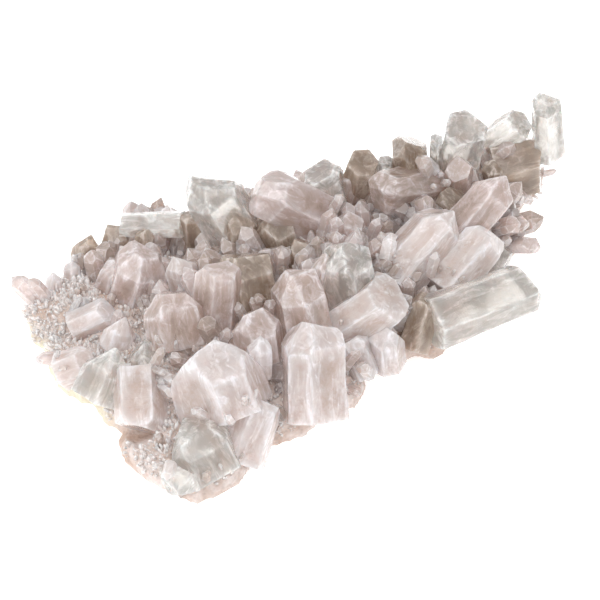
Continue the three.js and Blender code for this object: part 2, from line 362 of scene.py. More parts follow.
    # The deepest-tinted crystals are smoky throughout; toward the cluster's narrow end this darkening is
    # partly painted shade
    smoke_and_shade = add(tree, "ShaderNodeMapRange", {
        "Value": own, "From Min": 0.55, "From Max": 1.0, "To Max": 0.5,
    })
    body = add(tree, "ShaderNodeMix", {
        0: smoke_and_shade.outputs[0], 6: stained_body.outputs[2], 7: linear(SMOKE_AND_SHADE_COLOUR),
    }, data_type="RGBA")
    seen_through = add(tree, "ShaderNodeMapRange", {"Value": cloudy, "To Min": clearness, "To Max": 0.3})

    # Etched faces: dull in patches of 2 mm, growth lines across the prism 0.6 mm apart, shallow pits
    etch = add(tree, "ShaderNodeTexNoise", {
        "Vector": place, "Scale": per_mm(2), "Detail": 5.0, "Roughness": 0.6,
    })
    dull = add(tree, "ShaderNodeMapRange", {
        "Value": etch.outputs["Fac"], "From Min": 0.35, "From Max": 0.7, "To Min": 0.04, "To Max": 0.24,
    })
    lines = add(tree, "ShaderNodeTexNoise", {
        "W": along, "Scale": per_mm(0.6), "Detail": 3.0, "Roughness": 0.7,
    }, noise_dimensions="1D")
    relief = add(tree, "ShaderNodeMath", {
        0: lines.outputs["Fac"], 1: GROWTH_LINE_HEIGHT, 2: etch.outputs["Fac"],
    }, operation="MULTIPLY_ADD")
    bump = add(tree, "ShaderNodeBump", {
        "Height": relief.outputs[0], "Strength": 0.5, "Distance": 0.22 * MM,
    })

    shader = add(tree, "ShaderNodeBsdfPrincipled", {
        "Base Color": body.outputs[2],
        "Roughness": dull.outputs[0],
        "IOR": 1.544,
        "Transmission Weight": seen_through.outputs[0],
        "Subsurface Weight": 0.85,
        "Subsurface Radius": (1.0, 0.85, 0.78),
        "Subsurface Scale": 5 * MM,
        "Coat Weight": 0.5,
        "Coat Roughness": 0.05,
        "Normal": bump.outputs[0],
    })
    finish_clear_body(tree, shader, 0.75)
    return material


def clear_quartz(look):
    """Rock crystal: grey and see-through, with few veils."""
    return quartz("clear_rock_crystal", look.clear_colour, "E2DFDA", "F6F6F5", "C3AD99",
                  veils=0.4, stained=0.35, clearness=0.84)


def milky_quartz(look):
    """Milky quartz: clouded by tiny fluid inclusions, so it glows rather than showing what is behind."""
    return quartz("clouded_milky_quartz", look.milky_colour, "E0D2CB", "F3F1F5", "BFA290",
                  veils=0.6, stained=0.5, clearness=0.5)


def pink_quartz(look):
    """Quartz with a faint pinkish cast from its iron-stained rock, half clear and half clouded."""
    return quartz("faint_pink_quartz", look.pink_colour, "D3C0B5", "F0E9EC", "AA8B77",
                  veils=0.5, stained=0.6, clearness=0.58)


def smoky_quartz(look):
    """Smoky quartz over brown rock: clear but brown-tinted, darkest at the root."""
    return quartz("brown_smoky_quartz", look.smoky_colour, "A6927D", "DCD2CA", "86694F",
                  veils=0.4, stained=0.65, clearness=0.66)


def druse_quartz():
    """Druse: small sharp crystals, glassy at the tip and stained pinkish brown at the root."""
    material, tree = new_material("druse_quartz")
    growth = add(tree, "ShaderNodeAttribute", attribute_name="growth").outputs["Fac"]
    own = add(tree, "ShaderNodeAttribute", attribute_name="tint").outputs["Fac"]
    place = add(tree, "ShaderNodeTexCoord").outputs["Object"]
    # Stain varies from hollow to hollow, over about 14 mm
    patch = add(tree, "ShaderNodeTexNoise", {"Vector": place, "Scale": per_mm(14), "Detail": 3.0})
    patch_share = add(tree, "ShaderNodeMapRange", {
        "Value": patch.outputs["Fac"], "From Min": 0.35, "From Max": 0.65,
    })
    root = add(tree, "ShaderNodeMix", {
        0: patch_share.outputs[0], 6: linear("F1E8E4"), 7: linear("DDC9BF"),
    }, data_type="RGBA")
    # Each small crystal is somewhere between water-clear and pinkish
    tip = add(tree, "ShaderNodeMix", {
        0: own, 6: linear("FCFBFB"), 7: linear("F3E8E4"),
    }, data_type="RGBA")
    rise = add(tree, "ShaderNodeMapRange", {
        "Value": growth, "From Max": 0.55,
    }, interpolation_type="SMOOTHSTEP")
    body = add(tree, "ShaderNodeMix", {
        0: rise.outputs[0], 6: root.outputs[2], 7: tip.outputs[2],
    }, data_type="RGBA")
    # Veils of 1.5 mm cloud it here and there
    veil = add(tree, "ShaderNodeTexNoise", {
        "Vector": place, "Scale": per_mm(1.5), "Detail": 5.0, "Roughness": 0.65,
    })
    cloudy = add(tree, "ShaderNodeMapRange", {
        "Value": veil.outputs["Fac"], "From Min": 0.45, "From Max": 0.7, "To Max": 0.5,
    })
    clouded = add(tree, "ShaderNodeMix", {
        0: cloudy.outputs[0], 6: body.outputs[2], 7: linear("F2ECEC"),
    }, data_type="RGBA")
    clearness = add(tree, "ShaderNodeMapRange", {
        "Value": cloudy.outputs[0], "From Max": 0.5, "To Min": 0.35, "To Max": 0.15,
    })
    # Etched faces, dull in patches of 0.8 mm
    etch = add(tree, "ShaderNodeTexNoise", {"Vector": place, "Scale": per_mm(0.8), "Detail": 2.0})
    dull = add(tree, "ShaderNodeMapRange", {"Value": etch.outputs["Fac"], "To Min": 0.03, "To Max": 0.2})
    bump = add(tree, "ShaderNodeBump", {
        "Height": etch.outputs["Fac"], "Strength": 0.25, "Distance": 0.06 * MM,
    })
    shader = add(tree, "ShaderNodeBsdfPrincipled", {
        "Base Color": clouded.outputs[2],
        "Roughness": dull.outputs[0],
        "IOR": 1.544,
        "Transmission Weight": clearness.outputs[0],
        "Subsurface Weight": 0.7,
        "Subsurface Radius": (1.0, 0.85, 0.8),
        "Subsurface Scale": 2 * MM,
        "Normal": bump.outputs[0],
    })
    finish_clear_body(tree, shader, 0.65)
    return material


def matrix_rock(look):
    """Massive vein quartz: rough, faintly see-through, stained in blotches, with a cream broken rim."""
    material, tree = new_material("weathered_vein_rock")
    place = add(tree, "ShaderNodeTexCoord").outputs["Object"]
    rim = add(tree, "ShaderNodeAttribute", attribute_name="rim").outputs["Fac"]
    blotch = add(tree, "ShaderNodeTexNoise", {
        "Vector": place, "Scale": per_mm(9), "Detail": 6.0, "Roughness": 0.65, "Distortion": 0.6,
    })
    grain = add(tree, "ShaderNodeTexVoronoi", {"Vector": place, "Scale": per_mm(1.1)})
    stained = add(tree, "ShaderNodeMapRange", {
        "Value": blotch.outputs["Fac"], "From Min": 0.38, "From Max": 0.62,
    })
    body = add(tree, "ShaderNodeMix", {
        0: stained.outputs[0], 6: linear(look.rock_colour), 7: linear(look.stain_colour),
    }, data_type="RGBA")
    weathered = add(tree, "ShaderNodeMix", {
        0: rim, 6: body.outputs[2], 7: linear(look.rim_colour),
    }, data_type="RGBA")
    # Grains about 1.1 mm across, darker at their middles
    speck = add(tree, "ShaderNodeMapRange", {
        "Value": grain.outputs["Distance"], "From Max": 0.6, "To Min": 0.82, "To Max": 1.0,
    })
    shaded = add(tree, "ShaderNodeMix", {
        0: 1.0, 6: weathered.outputs[2], 7: speck.outputs[0],
    }, data_type="RGBA", blend_type="MULTIPLY")
    dull = add(tree, "ShaderNodeMapRange", {"Value": blotch.outputs["Fac"], "To Min": 0.35, "To Max": 0.7})
    bump = add(tree, "ShaderNodeBump", {
        "Height": grain.outputs["Distance"], "Strength": 0.6, "Distance": 0.3 * MM,
    })
    shader = add(tree, "ShaderNodeBsdfPrincipled", {
        "Base Color": shaded.outputs[2],
        "Roughness": dull.outputs[0],
        "Subsurface Weight": 0.6,
        "Subsurface Radius": (1.0, 0.85, 0.8),
        "Subsurface Scale": 3 * MM,
        "Normal": bump.outputs[0],
    })
    add(tree, "ShaderNodeOutputMaterial", {"Surface": shader.outputs[0]})
    return material


QUARTZ = {
    "clear_quartz": clear_quartz,
    "milky_quartz": milky_quartz,
    "pink_quartz": pink_quartz,
    "smoky_quartz": smoky_quartz,
}
MADE = {}  # each material slot's finished quartz


def made_once(slot_name, look):
    """The quartz of a material slot, made the first time that it is asked for."""
    if slot_name not in MADE:
        MADE[slot_name] = QUARTZ[slot_name](look)
    return MADE[slot_name]


# ---------------------------------------------------------------- meshes

def finish_piece(name, mesh, material, nodes, slot_name):
    """Puts a mesh in the scene as a piece that rides on the cluster and stands for its nodes."""
    mesh.materials.clear()
    mesh.materials.append(material)
    piece = bpy.data.objects.new(name, mesh)
    bpy.context.scene.collection.objects.link(piece)
    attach(piece, "root")
    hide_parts(*nodes)
    return piece


def flat_faces(node):
    """
    [normal, distance, area] of each flat face of a model node that has the whole crystal behind it, and
    the node's corners.
    """
    shape = bmesh.new()
    shape.from_mesh(frame["nodes"][node].data)
    bmesh.ops.remove_doubles(shape, verts=shape.verts, dist=MERGE)
    points = np.array([vert.co for vert in shape.verts])
    faces = []
    for face in sorted(shape.faces, key=lambda one: -one.calc_area()):
        normal = face.normal.copy()
        reach = float((points @ np.array(normal)).max())
        covered = reach - normal.dot(face.verts[0].co) > FLATNESS
        if covered or face.calc_area() < SMALLEST_SIDE ** 2:
            continue
        same = next((known for known in faces if known[0].dot(normal) > SAME_WAY), None)
        if same:
            same[2] += face.calc_area()
        else:
            faces.append([normal, reach, face.calc_area()])
    shape.free()
    return faces, points


def long_axis(faces):
    """The crystal's axis, pointing to the tip: the direction that the most faces and face area fit."""
    normals = np.array([tuple(normal) for normal, _, _ in faces])
    areas = np.array([area for _, _, area in faces])
    best, best_fit = np.array((0.0, 0.0, 1.0)), -1.0
    for i, first in enumerate(normals):
        for second in normals[i + 1 :]:
            axis = np.cross(first, second)
            size = np.linalg.norm(axis)
            if size < LEAST_SPREAD:
                continue
            for candidate in (axis / size, -axis / size):
                fits, _ = faces_that_fit(normals, candidate)
                fit = areas[fits].sum() * fits.sum()
                if fit > best_fit:
                    best, best_fit = candidate, fit
    for _ in range(AXIS_ROUNDS):
        fits, rises = faces_that_fit(normals, best)
        weight = np.sqrt(areas[fits])
        best = np.linalg.lstsq(normals[fits] * weight[:, None], rises[fits] * weight, rcond=None)[0]
        best /= np.linalg.norm(best)
    return Vector(best)


def faces_that_fit(normals, axis):
    """
    Which faces stand as a crystal's do, which is upright, as a tip's or across the root, and the sine of the
    rise that each should have.
    """
    ups = normals @ axis
    rises = RISES[np.abs(ups[:, None] - RISES).argmin(axis=1)]
    return np.abs(ups - rises) < RISE_TOLERANCE, rises


def habit_faces(faces, axis):
    """The faces that belong to the crystal's own form, without those cut by its neighbours."""
    kept = []
    for normal, reach, _ in faces:
        rise = math.asin(max(-1.0, min(1.0, normal.dot(axis))))
        prism = abs(rise - PRISM_TAPER) < PRISM_TOLERANCE
        tip = abs(rise - TIP_FACE_RISE) < TIP_TOLERANCE
        cap = rise > CAP_RISE
        if prism or tip or cap:
            kept.append((normal, reach))
    return kept


def box_planes(low, high):
    """The six sides of a box, as planes."""
    for i in range(3):
        out = Vector((0, 0, 0))
        out[i] = 1
        yield out, high[i]
        yield -out, -low[i]


def corners_behind(planes):
    """The corners of the convex solid behind every plane: each is where three of the planes meet."""
    normals = np.array([tuple(normal) for normal, _ in planes])
    reaches = np.array([reach for _, reach in planes])
    threes = np.array(list(itertools.combinations(range(len(planes)), 3)))
    threes = threes[np.abs(np.linalg.det(normals[threes])) > LEAST_VOLUME]
    points = np.linalg.solve(normals[threes], reaches[threes][:, :, None])[:, :, 0]
    return points[(points @ normals.T <= reaches + CORNER_SLACK).all(axis=1)]


def solid_behind(planes):
    """The convex solid behind every plane, as a bmesh with whole flat faces."""
    shape = bmesh.new()
    for corner in corners_behind(planes):
        shape.verts.new(corner)
    bmesh.ops.remove_doubles(shape, verts=shape.verts, dist=CORNER_MERGE)
    bmesh.ops.convex_hull(shape, input=shape.verts)
    loose = [vert for vert in shape.verts if not vert.link_faces]
    bmesh.ops.delete(shape, geom=loose, context="VERTS")
    bmesh.ops.dissolve_limit(shape, angle_limit=FLAT_ANGLE, verts=shape.verts, edges=shape.edges)
    bmesh.ops.recalc_face_normals(shape, faces=shape.faces)
    return shape


class Crystal:
    """A crystal as measured from its model node: its own faces, axis, root and length."""

    def __init__(self, node):
        faces, points = flat_faces(node)
        self.node = node
        self.axis = long_axis(faces)
        heights = points @ np.array(self.axis)
        self.planes = habit_faces(faces, self.axis)
        self.planes.append((-self.axis, float(-heights.min())))
        self.low = float(heights.min())
        self.length = float(heights.max()) - self.low
        self.centre = Vector((points.min(axis=0) + points.max(axis=0)) / 2)

    def walls(self):
        """The crystal's own planes, and the sides of the room it has."""
        room = Vector((1, 1, 1)) * BOX_ROOM
        low, high = (Vector(corner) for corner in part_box(self.node))
        low -= room
        low.z = max(low.z, 0.0)
        return [*self.planes, *box_planes(low, high + room)]

    def solid(self):
        return solid_behind(self.walls())

    def share_grown(self, point):
        return (point.dot(self.axis) - self.low) / self.length


def chip_planes(crystal, depth, dice):
    """
    Breaks on some of the upper corners, as planes. A plane passes close under its corner, but where it tilts
    away from the corner it takes off much more than that, up to several millimetres of a tip.
    """
    chips = []
    for corner in corners_behind(crystal.walls()):
        corner = Vector(corner)
        if crystal.share_grown(corner) < CHIPPED_FROM or dice.random() > CHIP_CHANCE:
            continue
        jitter = Vector([dice.uniform(-0.5, 0.5) for _ in range(3)])
        normal = ((corner - crystal.centre).normalized() + jitter).normalized()
        chips.append((normal, normal.dot(corner) - depth * dice.uniform(*CHIP_DEPTHS)))
    return chips


def wear_edges(shape, edge_width):
    """Rounds the edges between faces."""
    sharp = [edge for edge in shape.edges if edge.is_manifold and edge.calc_face_angle(0) > WORN_ANGLE]
    bmesh.ops.bevel(
        shape, geom=sharp, offset=edge_width, segments=2, profile=0.5, affect="EDGES", clamp_overlap=True
    )


def cut_fine(shape, longest):
    """Halves every long side a few times over, as often as the longest one needs."""
    bmesh.ops.triangulate(shape, faces=shape.faces)
    start = max(edge.calc_length() for edge in shape.edges)
    rounds = math.ceil(math.log2(start / longest))
    for _ in range(min(rounds, MOST_CUTS)):
        long_edges = [edge for edge in shape.edges if edge.calc_length() > longest]
        bmesh.ops.subdivide_edges(shape, edges=long_edges, cuts=1)
        bmesh.ops.triangulate(shape, faces=[face for face in shape.faces if len(face.verts) > 3])


def weather(shape, height):
    """Slow waves on the faces, which make what is behind them swim."""
    for vert in shape.verts:
        vert.normal_update()
    moves = [
        vert.normal * height * sum(part * noise.noise(vert.co * per_mm(size)) for size, part in WAVES)
        for vert in shape.verts
    ]
    for vert, move in zip(shape.verts, moves):
        vert.co += move
        vert.co.z = max(vert.co.z, 0.0)


def edge_distances(points, planes):
    """How far each point on a convex solid lies from the nearest edge of its own face."""
    normals = np.array([tuple(normal) for normal, _ in planes])
    reaches = np.array([reach for _, reach in planes])
    depths = np.abs(reaches - points @ normals.T)
    own = depths.argmin(axis=1)
    slants = np.sqrt(np.clip(1 - (normals @ normals.T) ** 2, LEAST_SLANT, 1))[own]
    across = depths / slants
    across[np.arange(len(points)), own] = np.inf
    return across.min(axis=1)


def write_marks(mesh, crystal, planes, edge_highlight_width, tint):
    """Stores what the quartz material and the druse read, from how far a point has grown to its own tint."""
    points = coordinates(mesh)
    axis = np.array(crystal.axis)
    along = points @ axis
    drawn_out = points - axis * (along * (1 - GRAIN_DRAW))[:, None]
    from_edge = edge_distances(points, planes)
    marks = {
        "growth": (along - crystal.low) / crystal.length,
        "along": along,
        # Painted edge highlight: strongest on a face's edge, fading over the highlight width
        "edge": np.exp(-from_edge / edge_highlight_width),
        "heart": np.clip(from_edge / HEART_DEPTH, 0, 1),
        "tint": np.full(len(points), tint),
    }
    for name, values in marks.items():
        store(mesh, name, values)
    for name, vectors in (("grain", drawn_out), ("axis", np.tile(axis, (len(points), 1)))):
        layer = mesh.attributes.new(name, "FLOAT_VECTOR", "POINT")
        layer.data.foreach_set("vector", vectors.astype(np.float32).ravel())


def store(mesh, name, values):
    """Gives a mesh a new attribute with one number for each vertex."""
    mesh.attributes.new(name, "FLOAT", "POINT").data.foreach_set("value", values.astype(np.float32))


def stored(mesh, name):
    """The numbers of a mesh's attribute as an array."""
    values = np.empty(len(mesh.vertices), dtype=np.float32)
    mesh.attributes[name].data.foreach_get("value", values)
    return values


def coordinates(mesh):
    """A mesh's vertices as an array."""
    points = np.empty(len(mesh.vertices) * 3)
    mesh.vertices.foreach_get("co", points)
    return points.reshape(-1, 3)


def ramp(values, start, end):
    """Shares that go evenly from 0 at the start to 1 at the end, and stay there."""
    return np.clip((values - start) / (end - start), 0, 1)


def crystal_mesh(crystal, look):
    """A finished crystal: its whole form, with breaks, worn edges and the marks for its material."""
    dice = random.Random(crystal.node)
    planes = crystal.walls() + chip_planes(crystal, look.chip_depth, dice)
    shape = solid_behind(planes)
    wear_edges(shape, look.edge_width)
    cut_fine(shape, look.cell)
    weather(shape, look.unevenness)
    mesh = bpy.data.meshes.new(crystal.node)
    shape.to_mesh(mesh)
    shape.free()
    mesh.shade_smooth()
    mesh.set_sharp_from_angle(angle=SHARP_ANGLE)
    along_cluster = (crystal.centre.x - CAD_BOX[0][0]) / (CAD_BOX[1][0] - CAD_BOX[0][0])
    # Own tint: a random share, plus darkening toward the cluster's narrow end that is partly smoky quartz
    # and partly painted shade
    tint = OWN_TINT * dice.random() + NARROW_END_SMOKE_AND_SHADE * max(0.0, along_cluster - SMOKE_AND_SHADE_FROM)
    write_marks(mesh, crystal, planes, look.edge_highlight_width, tint)
    return mesh


MEASURED = {}  # each node's crystal


def measured(node):
    """The crystal of a model node, measured the first time that it is asked for."""
    if node not in MEASURED:
        MEASURED[node] = Crystal(node)
    return MEASURED[node]


# ---------------------------------------------------------------- rock

def inside_a_crystal(points, margin):
    """Which of the points lie within a crystal, grown by a margin."""
    hit = np.zeros(len(points), dtype=bool)
    for node in CRYSTALS:
        planes = measured(node).planes
        normals = np.array([tuple(n) for n, _ in planes])
        reach = np.array([r for _, r in planes])
        hit |= (points @ normals.T <= reach + margin).all(axis=1)
    return hit


def remeshed(source, voxel):
    """A closed, even mesh over a model node's shape."""
    shape = bmesh.new()
    shape.from_mesh(source.data)
    bmesh.ops.remove_doubles(shape, verts=shape.verts, dist=MERGE)
    mesh = bpy.data.meshes.new("rock_source")
    shape.to_mesh(mesh)
    shape.free()
    helper = bpy.data.objects.new("rock_source", mesh)
    bpy.context.scene.collection.objects.link(helper)
    remesh = helper.modifiers.new("even", "REMESH")
    remesh.mode = "VOXEL"
    remesh.voxel_size = voxel
    result = plain_mesh(helper, "rock")
    bpy.data.objects.remove(helper)
    return result


def plain_mesh(obj, name):
    """An object's evaluated mesh, as a mesh of its own."""
    depsgraph = bpy.context.evaluated_depsgraph_get()
    mesh = bpy.data.meshes.new_from_object(obj.evaluated_get(depsgraph))
    mesh.name = name
    return mesh


def rock_mesh(look):
    """The matrix with a broken, lumpy surface and a flat underside."""
    mesh = remeshed(frame["nodes"][ROCK], look.voxel)
    flat_up_to, full_from = 0.3 * MM, 2.3 * MM  # heights between which the lumps fade in
    lump_size, fineness, step, octaves = 6, 0.8, 2.2, 4
    swell = 0.3
    normals = [vert.normal.copy() for vert in mesh.vertices]
    for vert, normal in zip(mesh.vertices, normals):
        lumps = noise.fractal(vert.co * per_mm(lump_size), fineness, step, octaves)
        rise = max(0.0, min(1.0, (vert.co.z - flat_up_to) / (full_from - flat_up_to)))
        moved = vert.co + normal * (look.roughness * (lumps + swell) * rise)
        moved.z = max(moved.z, 0.0) if rise else 0.0
        vert.co = moved
    mesh.update()
    mark_rock(mesh)
    return mesh


def mark_rock(mesh):
    """Stores where the rock is weathered rim, and where small crystals can grow."""
    points = coordinates(mesh)
    facing = upward(mesh)
    broad_end, height = CAD_BOX[0][0], points[:, 2]
    # The rim runs round the foot of the broad end, on its rear half, and on walls more than on level ground
    low = ramp(height, 8 * MM, 2 * MM)
    at_end = ramp(points[:, 0], broad_end + 20 * MM, broad_end + 12 * MM)
    rear = ramp(points[:, 1], -12 * MM, -4 * MM)
    store(mesh, "rim", np.clip(at_end * rear * low * (1.3 - np.abs(facing)), 0, 1))
    # Small crystals grow where no large one stands, clear of the ground, and not on overhangs
    free = ~inside_a_crystal(points, 0.5 * MM)
    store(mesh, "druse", free * ramp(facing, -0.25, 0.15) * ramp(height, 2.5 * MM, 5 * MM))


# ---------------------------------------------------------------- druse

def seed_object(node, name, rimmed):
    """
    A small crystal of one unit length with its root at the origin, shaped like one of the large ones. A
    rimmed one has a narrow strip round each face, so that its edges can carry a painted highlight, drawn as
    milky cloud.
    rimmed one has a narrow strip round each face, so that its edges can be cloudy.
    """
    crystal = measured(node)
    shape = crystal.solid()
    bmesh.ops.remove_doubles(shape, verts=shape.verts, dist=SEED_MERGE)
    root = crystal.centre + crystal.axis * (crystal.low - crystal.centre.dot(crystal.axis))
    upright = crystal.axis.rotation_difference(Vector((0, 0, 1))).to_matrix().to_4x4()
    place = Matrix.Scale(1 / crystal.length, 4) @ upright @ Matrix.Translation(-root)
    bmesh.ops.transform(shape, matrix=place, verts=shape.verts)
    broad = [face for face in shape.faces if face.calc_area() > SEED_RIM ** 2]
    if rimmed:
        bmesh.ops.inset_individual(shape, faces=broad, thickness=SEED_RIM)
    shape.verts.index_update()
    inner = {vert.index for face in broad for vert in face.verts}
    mesh = bpy.data.meshes.new(name)
    shape.to_mesh(mesh)
    shape.free()
    # Painted highlight on the edge strip of a rimmed small crystal, drawn as milky cloud
    painted_edge_highlight = 0.9
    store(mesh, "growth", coordinates(mesh)[:, 2])
    store(mesh, "edge", np.array([0.0 if vert.index in inner else painted_edge_highlight for vert in mesh.vertices]))
    return bpy.data.objects.new(name, mesh)


def thinned(ground, at_broad_end, elsewhere, on_walls=False):
    """The ground with only these shares of its places left for crystals, on its level parts or walls too."""
    mesh = ground.copy()
    points = coordinates(mesh)
    broad_end = CAD_BOX[0][0]
    past_end = ramp(points[:, 0], broad_end + 30 * MM, broad_end + 50 * MM)
    values = stored(mesh, "druse") * (at_broad_end + (elsewhere - at_broad_end) * past_end)
    if not on_walls:
        a_few = 0.1
        values *= np.maximum(ramp(points[:, 2], 5 * MM, 8 * MM), a_few) * level(mesh)
    mesh.attributes["druse"].data.foreach_set("value", values.astype(np.float32))
    return mesh


def upward(mesh):
    """How far each vertex faces up, from -1 to 1."""
    return np.array([vert.normal.z for vert in mesh.vertices])


def level(mesh):
    """How level each vertex lies, as a share, so that the outer walls grow no coarse crystals."""
    return ramp(upward(mesh), 0.1, 0.45)


def druse_tree(seeds):
    """Small crystals scattered over a surface by its druse attribute, leaning this way and that."""
    tree = bpy.data.node_groups.new("druse", "GeometryNodeTree")
    sockets = tree.interface
    sockets.new_socket("Geometry", in_out="INPUT", socket_type="NodeSocketGeometry")
    for name, kind, default in (
        ("Density", "NodeSocketFloat", 1.0),
        ("Shortest", "NodeSocketFloat", 1 * MM),
        ("Longest", "NodeSocketFloat", 2 * MM),
        ("Lean", "NodeSocketFloat", 0.4),
        ("Seed", "NodeSocketInt", 1),
    ):
        sockets.new_socket(name, in_out="INPUT", socket_type=kind).default_value = default
    sockets.new_socket("Material", in_out="INPUT", socket_type="NodeSocketMaterial")
    sockets.new_socket("Geometry", in_out="OUTPUT", socket_type="NodeSocketGeometry")
    given = add(tree, "NodeGroupInput").outputs

    # Where each one stands
    mask = add(tree, "GeometryNodeInputNamedAttribute", {"Name": "druse"}, data_type="FLOAT")
    density = add(tree, "ShaderNodeMath", {
        0: given["Density"], 1: mask.outputs[0],
    }, operation="MULTIPLY")
    points = add(tree, "GeometryNodeDistributePointsOnFaces", {
        "Mesh": given["Geometry"], "Density": density.outputs[0], "Seed": given["Seed"],
    })

    # Which way it points: out of the surface, along the crystal that it sits on, and astray
    stray = add(tree, "FunctionNodeRandomValue", {
        "Min": (-1, -1, -0.4), "Max": (1, 1, 1), "Seed": given["Seed"],
    }, data_type="FLOAT_VECTOR")
    leaned = add(tree, "ShaderNodeVectorMath", {0: stray.outputs[0], 3: given["Lean"]}, operation="SCALE")
    host = add(tree, "GeometryNodeInputNamedAttribute", {"Name": "axis"}, data_type="FLOAT_VECTOR")
    outward = add(tree, "ShaderNodeVectorMath", {
        0: points.outputs["Normal"], 1: leaned.outputs[0],
    }, operation="ADD")
    aim = add(tree, "ShaderNodeVectorMath", {
        0: outward.outputs[0], 1: host.outputs[0],
    }, operation="ADD")
    upright = add(tree, "FunctionNodeAlignRotationToVector", {"Vector": aim.outputs[0]}, axis="Z")
    turn = add(tree, "FunctionNodeRandomValue", {
        2: 0.0, 3: 2 * math.pi, "Seed": given["Seed"],
    }, data_type="FLOAT")
    spin = add(tree, "FunctionNodeAxisAngleToRotation", {"Axis": (0, 0, 1), "Angle": turn.outputs[1]})
    placed = add(tree, "FunctionNodeRotateRotation", {
        "Rotation": upright.outputs[0], "Rotate By": spin.outputs[0],
    }, rotation_space="LOCAL")

    # How long it is, mostly short
    chance = add(tree, "FunctionNodeRandomValue", {2: 0.0, 3: 1.0, "Seed": SIZE_SEED}, data_type="FLOAT")
    mostly_short = add(tree, "ShaderNodeMath", {
        0: chance.outputs[1], 1: SHORT_BIAS,
    }, operation="POWER")
    size = add(tree, "ShaderNodeMapRange", {
        "Value": mostly_short.outputs[0], "To Min": given["Shortest"], "To Max": given["Longest"],
    })

    # One of the seed crystals at each point, with a tint of its own
    choices = add(tree, "GeometryNodeGeometryToInstance")
    for seed in seeds:
        shape = add(tree, "GeometryNodeObjectInfo", {"Object": seed, "As Instance": True})
        tree.links.new(shape.outputs["Geometry"], choices.inputs[0])
    grown = add(tree, "GeometryNodeInstanceOnPoints", {
        "Points": points.outputs["Points"], "Instance": choices.outputs[0], "Pick Instance": True,
        "Rotation": placed.outputs[0], "Scale": size.outputs[0],
    })
    own = add(tree, "FunctionNodeRandomValue", {2: 0.0, 3: 1.0, "Seed": TINT_SEED}, data_type="FLOAT")
    tinted = add(tree, "GeometryNodeStoreNamedAttribute", {
        "Geometry": grown.outputs[0], "Name": "tint", "Value": own.outputs[1],
    }, data_type="FLOAT", domain="INSTANCE")
    real = add(tree, "GeometryNodeRealizeInstances", {"Geometry": tinted.outputs[0]})
    position = add(tree, "GeometryNodeInputPosition")
    grained = add(tree, "GeometryNodeStoreNamedAttribute", {
        "Geometry": real.outputs[0], "Name": "grain", "Value": position.outputs[0],
    }, data_type="FLOAT_VECTOR", domain="POINT")
    finished = add(tree, "GeometryNodeSetMaterial", {
        "Geometry": grained.outputs[0], "Material": given["Material"],
    })
    add(tree, "NodeGroupOutput", {"Geometry": finished.outputs[0]})
    return tree


def grow_druse(name, ground, tree, material, values):
    """A plain mesh of small crystals over the ground mesh."""
    helper = bpy.data.objects.new(name + "_ground", ground)
    bpy.context.scene.collection.objects.link(helper)
    modifier = helper.modifiers.new("druse", "NODES")
    modifier.node_group = tree
    sockets = {item.name: item.identifier for item in tree.interface.items_tree if item.in_out == "INPUT"}
    for key, value in values.items():
        modifier[sockets[key]] = value
    modifier[sockets["Material"]] = material
    mesh = plain_mesh(helper, name)
    bpy.data.objects.remove(helper)
    return mesh


def flanks_mesh():
    """The large crystals' lower faces in one mesh, marked where smaller crystals sit on them."""
    shape = bmesh.new()
    for node in CRYSTALS:
        if node not in CLEAN_CRYSTALS:
            shape.from_mesh(bpy.data.objects[node + "_quartz"].data)
    mesh = bpy.data.meshes.new("flanks")
    shape.to_mesh(mesh)
    shape.free()
    points = coordinates(mesh)
    low = ramp(stored(mesh, "growth"), 0.3, 0.1)
    low[inside_a_crystal(points, -0.4 * MM)] = 0.0
    # Nests of small crystals about 11 mm apart
    nest_size, nest_share = 11, 0.25
    nests = np.array([
        max(0.0, noise.noise(Vector(point) * per_mm(nest_size)) + nest_share) if lowness else 0.0
        for point, lowness in zip(points, low)
    ])
    store(mesh, "druse", low * ramp(points[:, 2], 5 * MM, 9 * MM) * level(mesh) * nests)
    return mesh


# ---------------------------------------------------------------- operators

class CLUSTER_OT_rock(bpy.types.Operator):
    """Build the matrix rock"""
    bl_idname = "cluster.rock"
    bl_label = "Matrix rock"

    def execute(self, context):
        look = context.scene.cluster_rock
        mesh = rock_mesh(look)
        finish_piece("matrix_rock", mesh, matrix_rock(look), [ROCK], SLOTS[ROCK])
        return {"FINISHED"}


class CLUSTER_OT_crystals(bpy.types.Operator):
    """Build every large crystal over its model node"""
    bl_idname = "cluster.crystals"
    bl_label = "Large crystals"

    def execute(self, context):
        look = context.scene.cluster_crystals
        for node in CRYSTALS:
            slot_name = SLOTS[node]
            material = made_once(slot_name, look)
            mesh = crystal_mesh(measured(node), look)
            finish_piece(node + "_quartz", mesh, material, [node], slot_name)
        return {"FINISHED"}


